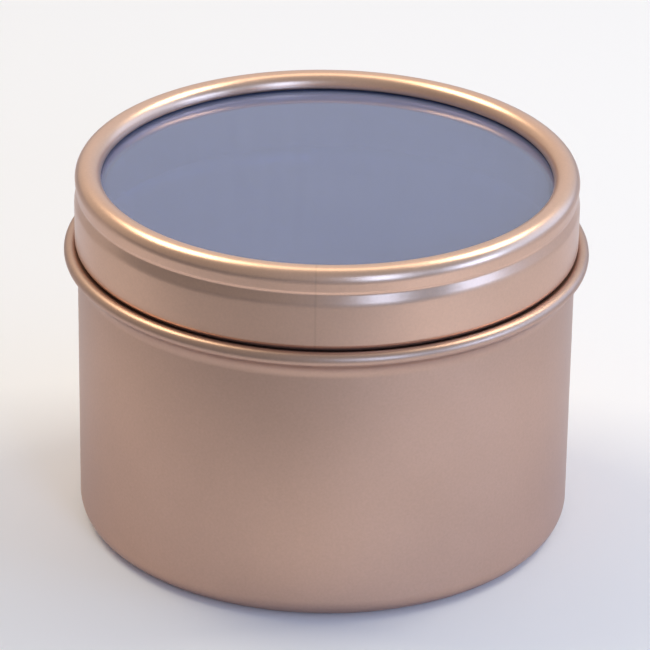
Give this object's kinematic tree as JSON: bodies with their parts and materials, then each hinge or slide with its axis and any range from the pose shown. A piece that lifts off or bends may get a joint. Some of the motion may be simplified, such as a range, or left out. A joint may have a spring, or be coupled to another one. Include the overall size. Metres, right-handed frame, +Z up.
{
  "type": "window lid tin",
  "caption": "Round drawn tin with a straight wall, a bead below the mouth and a slip-on lid whose rounded rim frames a clear window, for keeping small goods in view.",
  "frame": {"origin": "centre of the standing ring, on the surface that the tin stands on", "axes": "+Z up along the tin's axis; the tin is round, and -Y faces the picture's camera"},
  "size_m": [0.077, 0.077, 0.0556],
  "materials": {
    "rose_gold_lacquer": "satin metallic rose-gold lacquer on drawn tinplate",
    "clear_pane": "clear glossy sheet",
    "clear_glue": "translucent set adhesive"
  },
  "bodies": {
    "tin": {"tin_body": "rose_gold_lacquer"},
    "lid": {"lid_shell": "rose_gold_lacquer", "window_pane": "clear_pane", "window_glue_ring": "clear_glue"}
  },
  "joints": [
    {"name": "lid_lift", "type": "slide", "parent": "tin", "child": "lid", "axis": [0, 0, 1], "range_m": [0, 0.03]}
  ]
}
